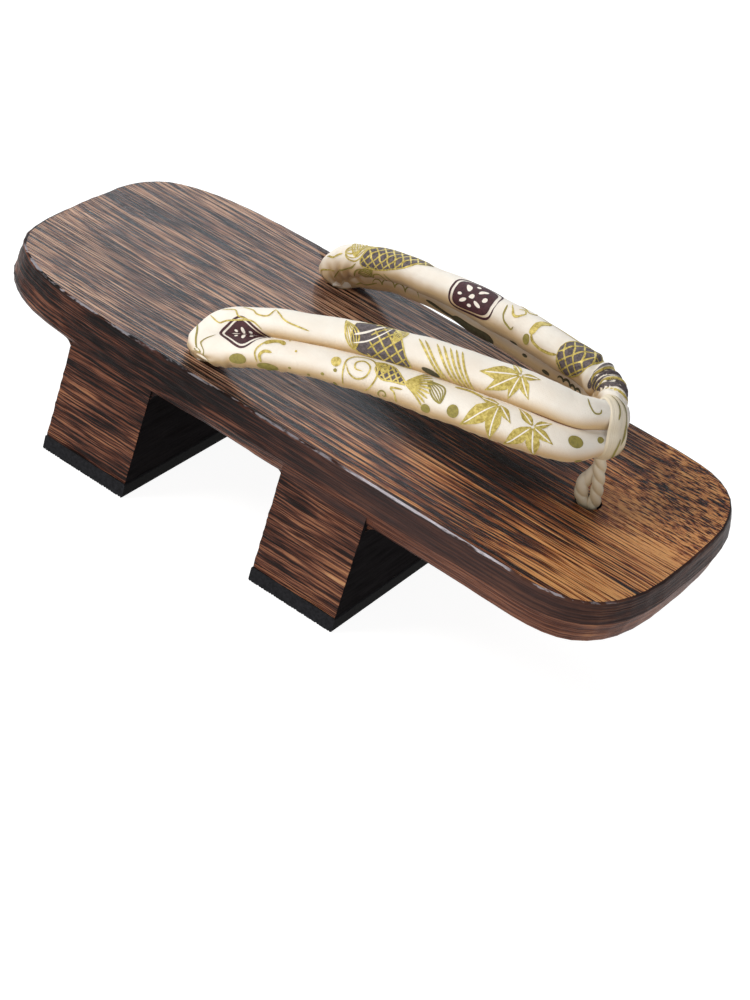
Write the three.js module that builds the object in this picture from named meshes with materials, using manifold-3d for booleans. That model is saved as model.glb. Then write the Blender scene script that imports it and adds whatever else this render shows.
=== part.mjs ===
import * as THREE from "three";
import { mergeVertices } from "three/addons/utils/BufferGeometryUtils.js";
import Module from "manifold-3d";

const wasm = await Module();
wasm.setup();

// A two-tooth wooden sandal with a padded thong strap, in millimetres.
// +X points to the toe, +Z points up and Z = 0 is the ground under the rubber treads.

// Wooden block: deck outline and heights
const DECK_LENGTH = 271.6;
const DECK_TOP = 62.5;
const DECK_THICKNESS = 17;
const DECK_UNDER = DECK_TOP - DECK_THICKNESS;
const HALF_WIDTH = 57.8;
const TOE_GAIN = 1;
const END_LOSS = 1.1;
const HEEL_CAP = { start: 0.3, power: 4.2 };
const TOE_CAP = { start: 0.71, power: 3.1 };
const OUTLINE_STEPS = 44;

// Deck side along the deck from the heel (-1) to the toe (1): flare out to a ridge, bevel in below it
const SIDE_BEVEL = [
  { along: -1, flare: 1.6, height: 4.5, inset: -0.6 },
  { along: -0.5, flare: 0.4, height: 1.6, inset: 0.5 },
  { along: -0.2, flare: 0.3, height: 6, inset: 2.3 },
  { along: 0.4, flare: 0.3, height: 7.5, inset: 2 },
  { along: 1, flare: 1.6, height: 9.5, inset: 0.6 },
];
const EDGE_ROUND = 1;

// Rubber treads and the two teeth that stand on them
const TREAD_HEIGHT = 6;
const TREAD_OVERHANG = 0.4;
const TREAD_CORNER = 1.5;
const ROOT_FILLET = 4.5;
const TEETH = {
  rear: { middle: -71.3, length: 37, halfBottom: 58.2, halfTop: 55, intoDeck: 3 },
  front: { middle: 24.2, length: 36, halfBottom: 58.2, halfTop: 57, intoDeck: 7 },
};

// Strap and cord holes through the deck
const HOLE_CLEARANCE = 0.35;
const CORD_PLAY = 0.05;
const REST_GAP = 0.3;
const STRAP_HOLE = { at: -43, out: 42.2, cord: 5.3 };
const TOE_HOLE = { at: 94, out: 0, cord: 4.6 };
const HOLE_SIDES = 24;

// Padded strap, each leg from its hole to the front bend: place of the middle line,
// turn of the section and half sizes of the two rolls side by side
const STRAP_TAIL = [
  { at: -43, out: 42.2, rise: -18.5, tilt: 10, lean: 0, wide: 5.3, thick: 5.3, groove: 0 },
  { at: -43, out: 42.2, rise: -8, tilt: 10, lean: 0, wide: 5.3, thick: 5.3, groove: 0 },
  { at: -43, out: 42.2, rise: 0.6, tilt: 15, lean: 0, wide: 5.3, thick: 5.3, groove: 0 },
];
const NEAR_LEG = [
  { at: -43, out: 42.1, rise: 3.4, tilt: 32, lean: 0, wide: 8.6, thick: 7.4, groove: 0 },
  { at: -40.6, out: 41.7, rise: 7.2, tilt: 42, lean: 0, wide: 10.5, thick: 6.8, groove: 0.2 },
  { at: -34.2, out: 41, rise: 11.2, tilt: 45, lean: 0, wide: 11.2, thick: 6, groove: 0.6 },
  { at: -19.7, out: 38.8, rise: 17.7, tilt: 46, lean: 0, wide: 10.8, thick: 5.4, groove: 1 },
  { at: 1.8, out: 34.1, rise: 23.5, tilt: 46, lean: 0, wide: 11.3, thick: 5.3, groove: 1 },
  { at: 23.3, out: 29.5, rise: 27.5, tilt: 46, lean: 0, wide: 12.3, thick: 5.6, groove: 1 },
  { at: 43, out: 26.1, rise: 30.1, tilt: 45, lean: 0, wide: 13, thick: 5.9, groove: 1 },
  { at: 69.4, out: 20.9, rise: 32.4, tilt: 45, lean: 0, wide: 13.1, thick: 5.9, groove: 1 },
  { at: 83.4, out: 14.9, rise: 31.6, tilt: 53, lean: 4, wide: 12, thick: 5.4, groove: 0.9 },
  { at: 90.1, out: 5.9, rise: 31, tilt: 78, lean: 12, wide: 10.1, thick: 4.8, groove: 0.7 },
];
const FAR_LEG = [
  { at: -45.4, out: 42.2, rise: 2.4, tilt: 30, lean: 0, wide: 7.6, thick: 6.8, groove: 0 },
  { at: -42.8, out: 41.8, rise: 5.8, tilt: 41, lean: 0, wide: 9.6, thick: 6.8, groove: 0.2 },
  { at: -35.4, out: 41, rise: 11, tilt: 45, lean: 0, wide: 11.4, thick: 6.6, groove: 0.6 },
  { at: -19.7, out: 38.8, rise: 17.6, tilt: 46, lean: 0, wide: 11, thick: 5.7, groove: 1 },
  { at: 1.8, out: 34.1, rise: 23.4, tilt: 46, lean: 0, wide: 11.2, thick: 5.5, groove: 1 },
  { at: 23.3, out: 29.5, rise: 27.2, tilt: 46, lean: 0, wide: 12.9, thick: 6, groove: 1 },
  { at: 43, out: 26.1, rise: 29.4, tilt: 45, lean: 0, wide: 13.5, thick: 6.3, groove: 1 },
  { at: 69.4, out: 20.9, rise: 31.4, tilt: 45, lean: 0, wide: 13.4, thick: 6.3, groove: 1 },
  { at: 83.4, out: 14.9, rise: 31.2, tilt: 53, lean: 4, wide: 12.1, thick: 5.7, groove: 0.9 },
  { at: 90.1, out: 5.9, rise: 31, tilt: 78, lean: 12, wide: 10.1, thick: 4.8, groove: 0.7 },
];
const STRAP_BEND = { at: 92.2, out: 0, rise: 30.8, tilt: 90, lean: 17, wide: 9.6, thick: 4.6, groove: 0.6 };
const STRAP_STEPS = 3;
const SECTION_POINTS = 24;
const GROOVE_FLOOR = 0.3;

// Toe cord: a sleeve round the strap bend and two twisted strands down to the toe hole
const CORD_GAP = 0.4;
const SLEEVE = [
  { along: -0.78, swell: 0.3 },
  { along: -0.66, swell: 1.2 },
  { along: -0.4, swell: 1.7 },
  { along: -0.1, swell: 1.9 },
  { along: 0.15, swell: 1.8 },
  { along: 0.32, swell: 1.3 },
  { along: 0.43, swell: 0.3 },
];
const TOE_STRANDS = [
  { at: 94, out: 0, rise: -18.5, twist: 0, wide: 4.6, thick: 4.6, groove: 0 },
  { at: 94, out: 0, rise: -8, twist: 0, wide: 4.6, thick: 4.6, groove: 0 },
  { at: 94, out: 0, rise: 0.8, twist: 15, wide: 4.5, thick: 4.3, groove: 0.2 },
  { at: 93.6, out: -0.6, rise: 4, twist: 40, wide: 5.7, thick: 3.3, groove: 0.9 },
  { at: 93.4, out: -0.8, rise: 9, twist: 65, wide: 5.8, thick: 3, groove: 1 },
  { at: 93.8, out: -0.3, rise: 14, twist: 105, wide: 5.2, thick: 2.9, groove: 1 },
  { at: 94.4, out: 0, rise: 19, twist: 150, wide: 4.8, thick: 3, groove: 0.8 },
  { at: 94.6, out: 0, rise: 23, twist: 180, wide: 4.6, thick: 3.4, groove: 0.4 },
];

// Knot that holds a cord under the deck: radius against depth below the deck
const KNOT = [
  { radius: 0, below: 0.4 },
  { radius: 6.6, below: 0.4 },
  { radius: 7.4, below: 1.4 },
  { radius: 6.8, below: 3 },
  { radius: 4.5, below: 4.3 },
  { radius: 0, below: 4.8 },
];
const KNOT_SIDES = 18;

// Value of a table column at a place between its rows
function along(rows, place, column) {
  const last = rows.length - 1;
  const next = Math.min(last, Math.max(1, rows.findIndex((row) => row.along >= place)));
  const [a, b] = [rows[next - 1], rows[next]];
  const part = THREE.MathUtils.clamp((place - a.along) / (b.along - a.along), 0, 1);
  return THREE.MathUtils.lerp(a[column], b[column], THREE.MathUtils.smoothstep(part, 0, 1));
}

// Value of a table column on a smooth curve through the rows, by row number
function smooth(rows, number, column) {
  const last = rows.length - 1;
  const start = Math.min(last - 1, Math.max(0, Math.floor(number)));
  const t = number - start;
  const pick = (i) => rows[THREE.MathUtils.clamp(i, 0, last)][column];
  const [p, q] = [pick(start), pick(start + 1)];
  const u = (q - pick(start - 1)) / 2;
  const v = (pick(start + 2) - p) / 2;
  return p + t * u + t * t * (3 * (q - p) - 2 * u - v) + t * t * t * (2 * (p - q) + u + v);
}

// Closed skin through rings of equally many points, each end closed by a fan
function loft(rings) {
  const count = rings[0].length;
  const points = rings.flat();
  const faces = [];
  for (let i = 0; i + 1 < rings.length; i++) {
    for (let j = 0; j < count; j++) {
      const k = (j + 1) % count;
      const [low, high] = [i * count, (i + 1) * count];
      faces.push(low + j, low + k, high + k, low + j, high + k, high + j);
    }
  }
  const top = (rings.length - 1) * count;
  const middleOf = (ring) => ring.reduce((sum, p) => sum.add(p), new THREE.Vector3()).divideScalar(count);
  const lowMiddle = points.push(middleOf(rings[0])) - 1;
  const topMiddle = points.push(middleOf(rings[rings.length - 1])) - 1;
  for (let j = 0; j < count; j++) {
    const k = (j + 1) % count;
    faces.push(lowMiddle, k, j, topMiddle, top + j, top + k);
  }
  return new THREE.BufferGeometry().setFromPoints(points).setIndex(faces);
}

// Closed geometry to a solid that can be joined and cut
function solid(geometry) {
  const bare = geometry.clone();
  bare.deleteAttribute("normal");
  bare.deleteAttribute("uv");
  const merged = mergeVertices(bare, 1e-4);
  const vertProperties = new Float32Array(merged.attributes.position.array);
  const triVerts = new Uint32Array(merged.index.array);
  return new wasm.Manifold(new wasm.Mesh({ numProp: 3, vertProperties, triVerts }));
}

// Solid back to a geometry
function geometryOf(body) {
  const mesh = body.getMesh();
  const geometry = new THREE.BufferGeometry();
  geometry.setAttribute("position", new THREE.BufferAttribute(mesh.vertProperties, 3));
  geometry.setIndex(new THREE.BufferAttribute(mesh.triVerts, 1));
  geometry.computeVertexNormals();
  return geometry;
}

// Half width of the deck at a place from the heel (-1) to the toe (1)
function deckHalfWidth(place) {
  const cap = place < 0 ? HEEL_CAP : TOE_CAP;
  const reach = Math.max(0, (Math.abs(place) - cap.start) / (1 - cap.start));
  const side = HALF_WIDTH + TOE_GAIN * place - END_LOSS * place * place;
  return side * Math.pow(Math.max(0, 1 - Math.pow(reach, cap.power)), 1 / cap.power);
}

// Sizes of the deck side at a place from the heel to the toe
function sideBevel(place) {
  const [flare, height, inset] = ["flare", "height", "inset"].map((name) => along(SIDE_BEVEL, place, name));
  return { flare, height, inset };
}

// Deck outline seen from above, counter-clockwise from the heel
function deckOutline() {
  const places = Array.from({ length: OUTLINE_STEPS + 1 }, (_, i) => -Math.cos((Math.PI * i) / OUTLINE_STEPS));
  const near = places.map((s) => new THREE.Vector2((s * DECK_LENGTH) / 2, -deckHalfWidth(s)));
  const far = near.slice(1, -1).reverse();
  return [...near, ...far.map((p) => new THREE.Vector2(p.x, -p.y))];
}

// Deck slab: flat top with a rounded edge, upright side and a bevel below
function deckSlab() {
  const outline = deckOutline();
  const count = outline.length;
  const inward = outline.map((_, i) => {
    const run = outline[(i + 1) % count].clone().sub(outline[(i + count - 1) % count]).normalize();
    return new THREE.Vector2(-run.y, run.x);
  });
  const ring = (level) =>
    outline.map((p, i) => {
      const place = (2 * p.x) / DECK_LENGTH;
      const [inset, z] = level(sideBevel(place));
      return new THREE.Vector3(p.x + inward[i].x * inset, p.y + inward[i].y * inset, z);
    });
  return loft([
    ring((bevel) => [bevel.inset + EDGE_ROUND, DECK_UNDER]),
    ring((bevel) => [bevel.inset, DECK_UNDER + 0.7 * EDGE_ROUND]),
    ring((bevel) => [-bevel.flare, DECK_UNDER + bevel.height]),
    ring(() => [0, DECK_TOP - EDGE_ROUND]),
    ring(() => [0.3 * EDGE_ROUND, DECK_TOP - 0.3 * EDGE_ROUND]),
    ring(() => [EDGE_ROUND, DECK_TOP]),
  ]);
}

// Four-sided ring at one height, for a tooth
function boxRing(middle, halfLength, halfWidth, z) {
  const corners = [[-1, -1], [1, -1], [1, 1], [-1, 1]];
  return corners.map(([sx, sy]) => new THREE.Vector3(middle + sx * halfLength, sy * halfWidth, z));
}

// Tooth, wider at the ground than at the deck
function toothBlock({ middle, length, halfBottom, halfTop, intoDeck }) {
  return loft([
    boxRing(middle, length / 2, halfBottom, TREAD_HEIGHT),
    boxRing(middle, length / 2, halfTop, DECK_UNDER + intoDeck),
  ]);
}

// Hollow fillet between a face of a tooth and the deck
function rootFillet({ middle, length, halfTop }, side) {
  const face = middle + (side * length) / 2;
  const root = DECK_UNDER - ROOT_FILLET;
  const place = (2 * face) / DECK_LENGTH;
  const underEdge = deckHalfWidth(place) - sideBevel(place).inset - EDGE_ROUND;
  const halfWidth = Math.min(halfTop, underEdge) - 0.3;
  const profile = new THREE.Shape();
  profile.moveTo(-1, root);
  profile.lineTo(0, root);
  profile.absarc(ROOT_FILLET, root, ROOT_FILLET, Math.PI, Math.PI / 2, true);
  profile.lineTo(ROOT_FILLET, DECK_UNDER + 1);
  profile.lineTo(-1, DECK_UNDER + 1);
  const geometry = new THREE.ExtrudeGeometry(profile, { depth: 2 * halfWidth, bevelEnabled: false, curveSegments: 5 });
  geometry.translate(0, 0, -halfWidth);
  geometry.rotateX(Math.PI / 2);
  geometry.rotateZ(side > 0 ? 0 : Math.PI);
  geometry.translate(face, 0, 0);
  return geometry;
}

// Upright bore at a hole, wider than its cord by a clearance
function bore({ at, out, cord }, clearance) {
  const radius = cord + clearance;
  const geometry = new THREE.CylinderGeometry(radius, radius, 3 * DECK_THICKNESS, HOLE_SIDES);
  geometry.rotateX(Math.PI / 2);
  geometry.translate(at, out, DECK_UNDER);
  return geometry;
}

// Rubber tread under a tooth
function treadSlab({ middle, length, halfBottom }) {
  const half = { x: length / 2 + TREAD_OVERHANG, y: halfBottom + TREAD_OVERHANG };
  const plan = new THREE.Shape();
  const corners = [[1, 1], [-1, 1], [-1, -1], [1, -1]];
  corners.forEach(([sx, sy], i) => {
    const centre = { x: middle + sx * (half.x - TREAD_CORNER), y: sy * (half.y - TREAD_CORNER) };
    plan.absarc(centre.x, centre.y, TREAD_CORNER, (i * Math.PI) / 2, ((i + 1) * Math.PI) / 2, false);
  });
  return new THREE.ExtrudeGeometry(plan, { depth: TREAD_HEIGHT, bevelEnabled: false, curveSegments: 3 });
}

// Point of a soft section: a round cord (groove 0) to two rolls side by side (groove 1)
function sectionPoint(angle, groove) {
  const round = { across: Math.cos(angle), out: Math.sin(angle) };
  const side = Math.cos(angle) >= 0 ? 0.5 : -0.5;
  const beta = 2 * angle + (side < 0 ? Math.PI : 0);
  const floor = GROOVE_FLOOR * Math.sign(round.out);
  const edge = Math.abs(round.out) < 1e-6;
  const roll = Math.abs(Math.sin(beta)) > GROOVE_FLOOR ? Math.abs(Math.sin(beta)) * Math.sign(round.out) : floor;
  const rolls = { across: side + 0.5 * Math.cos(beta), out: edge ? 0 : roll };
  return {
    across: THREE.MathUtils.lerp(round.across, rolls.across, groove),
    out: THREE.MathUtils.lerp(round.out, rolls.out, groove),
  };
}

// Ring of a soft section set square to a path
function sectionRing(centre, forward, acrossHint, { wide, thick, groove }) {
  const across = acrossHint.clone().addScaledVector(forward, -acrossHint.dot(forward)).normalize();
  const out = forward.clone().cross(across);
  return Array.from({ length: SECTION_POINTS }, (_, i) => {
    const point = sectionPoint((2 * Math.PI * i) / SECTION_POINTS, groove);
    return centre.clone().addScaledVector(across, point.across * wide).addScaledVector(out, point.out * thick);
  });
}

// Whole strap as rows: near leg, front bend, far leg
const nearRows = [...STRAP_TAIL, ...NEAR_LEG].map((row) => ({ ...row, out: -row.out }));
const farRows = [...STRAP_TAIL, ...FAR_LEG].map((row) => ({ ...row, tilt: 180 - row.tilt }));
const strapRows = [...nearRows, STRAP_BEND, ...farRows.reverse()];
const bendNumber = nearRows.length;

// Middle line of the strap by row number
function strapPoint(number) {
  const [x, y, rise] = ["at", "out", "rise"].map((column) => smooth(strapRows, number, column));
  return new THREE.Vector3(x, y, DECK_TOP + rise);
}

// Ring of the strap by row number, grown by a margin
function strapRing(number, margin, grooveShare) {
  const last = strapRows.length - 1;
  const before = strapPoint(Math.max(0, number - 0.02));
  const forward = strapPoint(Math.min(last, number + 0.02)).sub(before).normalize();
  const tilt = THREE.MathUtils.degToRad(smooth(strapRows, number, "tilt"));
  const lean = THREE.MathUtils.degToRad(smooth(strapRows, number, "lean"));
  const hint = new THREE.Vector3(-Math.sin(lean), Math.cos(tilt), Math.sin(tilt) * Math.cos(lean));
  return sectionRing(strapPoint(number), forward, hint, {
    wide: smooth(strapRows, number, "wide") + margin,
    thick: smooth(strapRows, number, "thick") + margin,
    groove: THREE.MathUtils.clamp(smooth(strapRows, number, "groove"), 0, 1) * grooveShare,
  });
}

// Stretch of the strap between two row numbers
function strapLoft(from, to, margin) {
  const count = Math.round((to - from) * STRAP_STEPS);
  return loft(Array.from({ length: count + 1 }, (_, i) => strapRing(from + i / STRAP_STEPS, margin, 1)));
}

// Plate over the deck with open holes, which keeps a cord's end off the wood
function deckClearance(holes) {
  const plate = new THREE.BoxGeometry(DECK_LENGTH, 2 * HALF_WIDTH, DECK_THICKNESS);
  plate.translate(0, 0, DECK_TOP + REST_GAP - DECK_THICKNESS / 2);
  return holes.reduce((body, hole) => body.subtract(solid(bore(hole, CORD_PLAY))), solid(plate));
}

// Knot under the deck at a hole
function knot({ at, out }) {
  const profile = KNOT.map((row) => new THREE.Vector2(row.radius, DECK_UNDER - row.below)).reverse();
  const geometry = new THREE.LatheGeometry(profile, KNOT_SIDES);
  geometry.rotateX(Math.PI / 2);
  geometry.translate(at, out, 0);
  return geometry;
}

// Two strands of the toe cord
function strandsLoft() {
  const steps = (TOE_STRANDS.length - 1) * STRAP_STEPS;
  const pointAt = (number) => {
    const [x, y, rise] = ["at", "out", "rise"].map((column) => smooth(TOE_STRANDS, number, column));
    return new THREE.Vector3(x, y, DECK_TOP + rise);
  };
  const rings = Array.from({ length: steps + 1 }, (_, i) => {
    const number = i / STRAP_STEPS;
    const before = pointAt(Math.max(0, number - 0.02));
    const forward = pointAt(Math.min(TOE_STRANDS.length - 1, number + 0.02)).sub(before).normalize();
    const twist = THREE.MathUtils.degToRad(smooth(TOE_STRANDS, number, "twist"));
    const [wide, thick, groove] = ["wide", "thick", "groove"].map((name) => smooth(TOE_STRANDS, number, name));
    const size = { wide, thick, groove: THREE.MathUtils.clamp(groove, 0, 1) };
    return sectionRing(pointAt(number), forward, new THREE.Vector3(Math.cos(twist), Math.sin(twist), 0), size);
  });
  return loft(rings);
}

// Sleeve of the toe cord round the strap bend
function sleeveLoft() {
  return loft(SLEEVE.map((row) => strapRing(bendNumber + row.along, CORD_GAP + row.swell, 0.25)));
}

// Materials with the colours of the real object
const burntWood = { color: "#4a2f20", roughness: 0.4, metalness: 0 };
const blackRubber = { color: "#232326", roughness: 0.9, metalness: 0 };
const printedCotton = { color: "#efe3cf", roughness: 0.85, metalness: 0 };
const creamCotton = { color: "#e6d9c0", roughness: 0.85, metalness: 0 };

// Named mesh of the assembly
function piece(name, geometry, look) {
  const mesh = new THREE.Mesh(geometry, new THREE.MeshStandardMaterial(look));
  mesh.name = name;
  return mesh;
}

// Deck with both teeth carved from the same block and three holes
const rearHoles = [-1, 1].map((side) => ({ ...STRAP_HOLE, out: side * STRAP_HOLE.out }));
let deckBody = solid(deckSlab());
for (const tooth of Object.values(TEETH)) {
  deckBody = deckBody.add(solid(toothBlock(tooth)));
  deckBody = deckBody.add(solid(rootFillet(tooth, 1))).add(solid(rootFillet(tooth, -1)));
}
for (const hole of [...rearHoles, TOE_HOLE]) {
  deckBody = deckBody.subtract(solid(bore(hole, HOLE_CLEARANCE)));
}

// Strap resting on the deck, with a knot on each tail
let strapBody = solid(strapLoft(0, strapRows.length - 1, 0)).subtract(deckClearance(rearHoles));
for (const hole of rearHoles) {
  strapBody = strapBody.add(solid(knot(hole)));
}

// Toe cord cut clear of the strap that it holds
let cordBody = solid(sleeveLoft()).add(solid(strandsLoft())).add(solid(knot(TOE_HOLE)));
cordBody = cordBody.subtract(solid(strapLoft(bendNumber - 2, bendNumber + 2, CORD_GAP)));

const sandal = new THREE.Group();
sandal.add(
  piece("deck", geometryOf(deckBody), burntWood),
  piece("rear_tread", treadSlab(TEETH.rear), blackRubber),
  piece("front_tread", treadSlab(TEETH.front), blackRubber),
  piece("strap", geometryOf(strapBody), printedCotton),
  piece("toe_cord", geometryOf(cordBody), creamCotton),
);

export default sandal;
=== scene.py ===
import math

import bmesh
import bpy
import numpy as np
from mathutils import Matrix, Vector, noise
from mathutils.geometry import delaunay_2d_cdt


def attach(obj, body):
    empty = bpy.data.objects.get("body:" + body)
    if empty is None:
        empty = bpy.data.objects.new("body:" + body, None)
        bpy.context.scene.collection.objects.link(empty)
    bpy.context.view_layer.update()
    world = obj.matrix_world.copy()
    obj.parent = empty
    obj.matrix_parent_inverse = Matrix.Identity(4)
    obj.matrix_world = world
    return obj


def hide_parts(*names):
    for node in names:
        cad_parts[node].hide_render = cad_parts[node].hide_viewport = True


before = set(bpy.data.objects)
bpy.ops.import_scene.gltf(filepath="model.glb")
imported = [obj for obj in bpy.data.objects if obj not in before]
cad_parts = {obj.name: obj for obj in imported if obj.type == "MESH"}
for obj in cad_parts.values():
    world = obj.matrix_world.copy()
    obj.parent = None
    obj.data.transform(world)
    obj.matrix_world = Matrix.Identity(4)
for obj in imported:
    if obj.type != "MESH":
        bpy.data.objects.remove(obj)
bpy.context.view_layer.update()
MM = 0.001

# Sizes shared with the solids, in millimetres
DECK_TOP = 62.5
DECK_UNDER = 45.5
TREAD_HEIGHT = 6.0
STRAP_HOLES = [(-43.0, -42.2), (-43.0, 42.2)]
TOE_HOLE = (94.0, 0.0)
TREADS = {
    "rear_tread": {"middle": -71.3, "length": 37.8, "width": 117.2, "slot": "rear_rubber"},
    "front_tread": {"middle": 24.2, "length": 36.8, "width": 117.2, "slot": "front_rubber"},
}

# Strap legs from their holes to the bend: at, out, rise, tilt, lean, wide, thick, groove
STRAP_TAIL = [
    (-43.0, 42.2, -18.5, 10, 0, 5.3, 5.3, 0.0),
    (-43.0, 42.2, -8.0, 10, 0, 5.3, 5.3, 0.0),
    (-43.0, 42.2, 0.6, 15, 0, 5.3, 5.3, 0.0),
]
NEAR_LEG = np.array(STRAP_TAIL + [
    (-43.0, 42.1, 3.4, 32, 0, 8.6, 7.4, 0.0),
    (-40.6, 41.7, 7.2, 42, 0, 10.5, 6.8, 0.2),
    (-34.2, 41.0, 11.2, 45, 0, 11.2, 6.0, 0.6),
    (-19.7, 38.8, 17.7, 46, 0, 10.8, 5.4, 1.0),
    (1.8, 34.1, 23.5, 46, 0, 11.3, 5.3, 1.0),
    (23.3, 29.5, 27.5, 46, 0, 12.3, 5.6, 1.0),
    (43.0, 26.1, 30.1, 45, 0, 13.0, 5.9, 1.0),
    (69.4, 20.9, 32.4, 45, 0, 13.1, 5.9, 1.0),
    (83.4, 14.9, 31.6, 53, 4, 12.0, 5.4, 0.9),
    (90.1, 5.9, 31.0, 78, 12, 10.1, 4.8, 0.7),
])
FAR_LEG = np.array(STRAP_TAIL + [
    (-45.4, 42.2, 2.4, 30, 0, 7.6, 6.8, 0.0),
    (-42.8, 41.8, 5.8, 41, 0, 9.6, 6.8, 0.2),
    (-35.4, 41.0, 11.0, 45, 0, 11.4, 6.6, 0.6),
    (-19.7, 38.8, 17.6, 46, 0, 11.0, 5.7, 1.0),
    (1.8, 34.1, 23.1, 48, 0, 11.2, 5.5, 1.0),
    (23.3, 29.5, 26.6, 51, 0, 12.9, 6.0, 1.0),
    (43.0, 26.1, 28.8, 50, 0, 13.5, 6.3, 1.0),
    (69.4, 20.9, 30.8, 50, 0, 13.4, 6.3, 1.0),
    (83.4, 14.9, 30.6, 58, 4, 12.1, 5.7, 0.9),
    (90.1, 5.9, 31.0, 78, 12, 10.1, 4.8, 0.7),
])
STRAP_BEND = np.array([(92.2, 0.0, 30.8, 90, 17, 9.6, 4.6, 0.6)])
GROOVE_FLOOR = 0.2
ROLL_GIRTH = 17.6  # over one roll, from the outer groove to the strap's edge
CORD_RADIUS = 5.3
REST_GAP = 0.2

# Sleeve of the toe cord: run along the strap bend and swell over the strap
SLEEVE = [(-5.0, 0.3), (-4.5, 1.0), (-3.2, 1.6), (-1.0, 1.8), (0.8, 1.7), (2.0, 1.3), (2.7, 0.3)]

# Two strands of the toe cord: at, out, height, radius
FRONT_STRAND = np.array([
    (92.3, -1.0, 86.0, 2.5), (93.9, -1.2, 78.5, 2.4), (94.9, -1.2, 74.6, 2.3), (95.6, -1.0, 70.6, 2.3),
    (96.0, -0.6, 66.8, 2.3), (95.9, 0.0, 62.8, 2.4), (94.6, 0.8, 56.0, 2.2), (94.2, 0.8, 45.0, 2.2)])
BACK_STRAND = np.array([
    (91.6, 0.9, 85.0, 1.8), (92.4, 0.8, 79.0, 1.7), (92.4, 0.2, 75.4, 1.8), (91.4, -0.9, 72.4, 2.2),
    (90.7, -2.0, 69.2, 2.5), (91.3, -2.2, 65.6, 2.5), (92.8, -1.3, 60.6, 2.2), (93.8, -0.9, 45.0, 2.2)])


# Camera at the photograph's angle, in degrees, metres and millimetres of lens
CAMERA_ANGLES = {"azimuth": 25.719, "elevation": 32.092, "roll": -16.508}
CAMERA_PLACE = (0.34430, -0.70152, 0.53735)
CAMERA_LENS = 92.34
CAMERA_SENSOR = 36.0
CAMERA_SHIFT = -0.089


def make_camera():
    azimuth, elevation, roll = (math.radians(angle) for angle in CAMERA_ANGLES.values())
    flat = math.cos(elevation)
    back = Vector((math.sin(azimuth) * flat, -math.cos(azimuth) * flat, math.sin(elevation)))
    side = Vector((math.cos(azimuth), math.sin(azimuth), 0))
    up = back.cross(side)
    axes = (side * math.cos(roll) - up * math.sin(roll), side * math.sin(roll) + up * math.cos(roll), back)
    data = bpy.data.cameras.new("camera")
    data.sensor_width = CAMERA_SENSOR
    data.lens = CAMERA_LENS
    data.shift_y = CAMERA_SHIFT
    data.clip_start = 0.05
    data.clip_end = 20.0
    camera = bpy.data.objects.new("camera", data)
    bpy.context.scene.collection.objects.link(camera)
    matrix = Matrix.Identity(4)
    for i, axis in enumerate(axes):
        matrix.col[i][:3] = axis
    matrix.col[3][:3] = CAMERA_PLACE
    camera.matrix_world = matrix
    bpy.context.scene.camera = camera


# Short way to write a material's nodes
class Nodes:
    def __init__(self, name):
        self.material = bpy.data.materials.new(name)
        self.material.use_nodes = True
        self.tree = self.material.node_tree
        self.tree.nodes.clear()
        output = self.tree.nodes.new("ShaderNodeOutputMaterial")
        self.shader = self.tree.nodes.new("ShaderNodeBsdfPrincipled")
        self.link(self.shader.outputs[0], output.inputs["Surface"])

    def link(self, source, target):
        self.tree.links.new(source, target)

    def feed(self, socket, value):
        if isinstance(value, bpy.types.NodeSocket):
            self.link(value, socket)
        elif value is not None:
            socket.default_value = value

    def surface(self, **values):
        for name, value in values.items():
            self.feed(self.shader.inputs[name.replace("_", " ").title().replace("Ior", "IOR")], value)

    def node(self, kind, inputs=None, **settings):
        made = self.tree.nodes.new(kind)
        for name, value in settings.items():
            setattr(made, name, value)
        for name, value in (inputs or {}).items():
            self.feed(made.inputs[name], value)
        return made

    def math(self, operation, a, b):
        return self.node("ShaderNodeMath", {0: a, 1: b}, operation=operation).outputs[0]

    def add(self, *values):
        total = values[0]
        for value in values[1:]:
            total = self.math("ADD", total, value)
        return total

    def times(self, *values):
        product = values[0]
        for value in values[1:]:
            product = self.math("MULTIPLY", product, value)
        return product

    def about(self, value, gain):
        return self.times(self.math("SUBTRACT", value, 0.5), gain)

    def ramp(self, factor, stops):
        made = self.node("ShaderNodeValToRGB", {"Fac": factor})
        elements = made.color_ramp.elements
        elements.remove(elements[0])
        elements[0].position, elements[0].color = stops[0][0], rgb(stops[0][1])
        for position, code in stops[1:]:
            elements.new(position).color = rgb(code)
        return made.outputs["Color"]

    def span(self, value, low, high, to_low=0.0, to_high=1.0):
        made = self.node("ShaderNodeMapRange", {"Value": value}, interpolation_type="SMOOTHSTEP")
        ends = {"From Min": low, "From Max": high, "To Min": to_low, "To Max": to_high}
        for name, end in ends.items():
            made.inputs[name].default_value = end
        return made.outputs[0]

    def mix(self, factor, a, b):
        colour_a, colour_b, colour_out = 6, 7, 2
        inputs = {"Factor": factor, colour_a: a, colour_b: b}
        return self.node("ShaderNodeMix", inputs, data_type="RGBA").outputs[colour_out]

    def blend(self, a, b, share):
        return self.add(a, self.times(self.math("SUBTRACT", b, a), share))

    def place(self):
        return self.node("ShaderNodeTexCoord").outputs["Object"]

    def split(self, vector):
        return self.node("ShaderNodeSeparateXYZ", {0: vector}).outputs

    def noise(self, vector, stretch, detail=2.0, rough=0.5):
        scaled = self.node("ShaderNodeVectorMath", {0: vector, 1: stretch}, operation="MULTIPLY").outputs[0]
        inputs = {"Vector": scaled, "Scale": 1.0, "Detail": detail, "Roughness": rough}
        return self.node("ShaderNodeTexNoise", inputs).outputs["Fac"]

    def bump(self, height, strength, distance, normal=None):
        inputs = {"Strength": strength, "Distance": distance, "Height": height, "Normal": normal}
        return self.node("ShaderNodeBump", inputs).outputs[0]


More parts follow.
